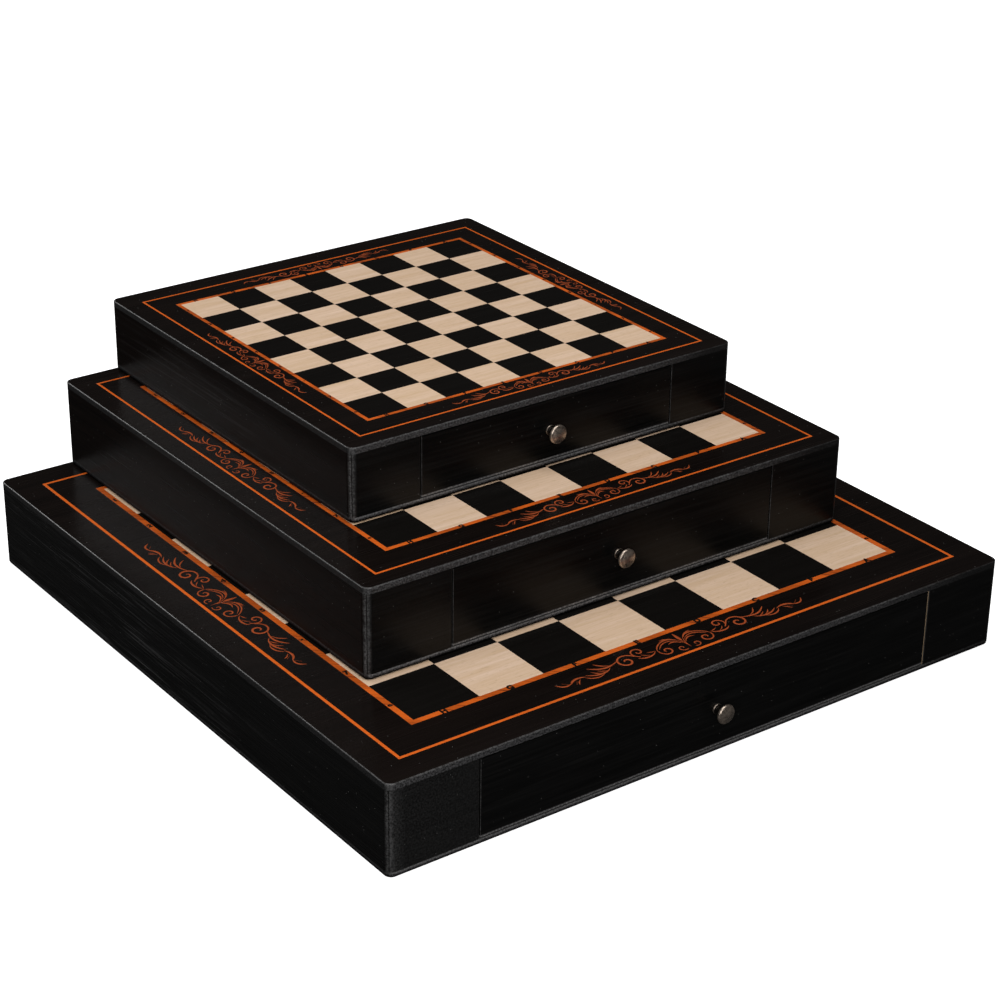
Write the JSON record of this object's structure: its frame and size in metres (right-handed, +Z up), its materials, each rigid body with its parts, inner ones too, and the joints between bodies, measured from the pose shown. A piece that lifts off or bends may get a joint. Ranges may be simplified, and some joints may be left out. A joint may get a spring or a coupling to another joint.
{
  "type": "stacking chess boxes with drawers",
  "caption": "Stack of square black lacquered chess boxes with inlaid boards on top, each with a full-depth front drawer opened by a round metal knob.",
  "frame": {"origin": "centre of the large box's underside, on the surface that the stack stands on", "axes": "+Z up; -Y towards the front, where the drawers open; +X to the right as seen from the front"},
  "size_m": [0.46, 0.471, 0.1685],
  "materials": {
    "black_lacquer": "satin black lacquer over fine horizontal grain",
    "light_veneer": "pale maple-like veneer under satin lacquer",
    "dark_veneer": "black dyed veneer under satin lacquer",
    "orange_veneer": "orange-brown veneer with dark cross-grain joints",
    "raw_wood": "unfinished light wood",
    "green_felt": "short-pile felt",
    "antique_pewter": "cast knob with mottled antique pewter finish",
    "zinc_steel": "zinc-plated steel"
  },
  "bodies": {
    "large_box": {"large_top_panel": "black_lacquer", "large_light_squares": "light_veneer", "large_dark_squares": "dark_veneer", "large_frame_banding": "orange_veneer", "large_line_banding": "orange_veneer", "large_left_wall": "black_lacquer", "large_right_wall": "black_lacquer", "large_back_wall": "black_lacquer", "large_front_stiles": "black_lacquer", "large_bottom_panel": "black_lacquer", "large_drawer_guides": "raw_wood", "large_bottom_screws": "zinc_steel"},
    "large_drawer": {"large_drawer_front": "black_lacquer", "large_drawer_sides": "raw_wood", "large_drawer_back": "raw_wood", "large_drawer_bottom": "raw_wood", "large_drawer_divider": "raw_wood", "large_drawer_lining": "green_felt", "large_knob": "antique_pewter", "large_knob_screw": "zinc_steel"},
    "medium_box": {"medium_top_panel": "black_lacquer", "medium_light_squares": "light_veneer", "medium_dark_squares": "dark_veneer", "medium_frame_banding": "orange_veneer", "medium_line_banding": "orange_veneer", "medium_left_wall": "black_lacquer", "medium_right_wall": "black_lacquer", "medium_back_wall": "black_lacquer", "medium_front_stiles": "black_lacquer", "medium_bottom_panel": "black_lacquer", "medium_drawer_guides": "raw_wood", "medium_bottom_screws": "zinc_steel"},
    "medium_drawer": {"medium_drawer_front": "black_lacquer", "medium_drawer_sides": "raw_wood", "medium_drawer_back": "raw_wood", "medium_drawer_bottom": "raw_wood", "medium_drawer_divider": "raw_wood", "medium_drawer_lining": "green_felt", "medium_knob": "antique_pewter", "medium_knob_screw": "zinc_steel"},
    "small_box": {"small_top_panel": "black_lacquer", "small_light_squares": "light_veneer", "small_dark_squares": "dark_veneer", "small_frame_banding": "orange_veneer", "small_line_banding": "orange_veneer", "small_left_wall": "black_lacquer", "small_right_wall": "black_lacquer", "small_back_wall": "black_lacquer", "small_front_stiles": "black_lacquer", "small_bottom_panel": "black_lacquer", "small_drawer_guides": "raw_wood", "small_bottom_screws": "zinc_steel"},
    "small_drawer": {"small_drawer_front": "black_lacquer", "small_drawer_sides": "raw_wood", "small_drawer_back": "raw_wood", "small_drawer_bottom": "raw_wood", "small_drawer_divider": "raw_wood", "small_drawer_lining": "green_felt", "small_knob": "antique_pewter", "small_knob_screw": "zinc_steel"}
  },
  "joints": [
    {"name": "large_drawer_slide", "type": "slide", "parent": "large_box", "child": "large_drawer", "axis": [0, -1, 0], "range_m": [0, 0.3]},
    {"name": "medium_drawer_slide", "type": "slide", "parent": "medium_box", "child": "medium_drawer", "axis": [0, -1, 0], "range_m": [0, 0.23]},
    {"name": "small_drawer_slide", "type": "slide", "parent": "small_box", "child": "small_drawer", "axis": [0, -1, 0], "range_m": [0, 0.18]},
    {"name": "medium_box_lift", "type": "slide", "parent": "large_box", "child": "medium_box", "axis": [0, 0, 1], "range_m": [0, 0.12]},
    {"name": "small_box_lift", "type": "slide", "parent": "medium_box", "child": "small_box", "axis": [0, 0, 1], "range_m": [0, 0.1]}
  ]
}
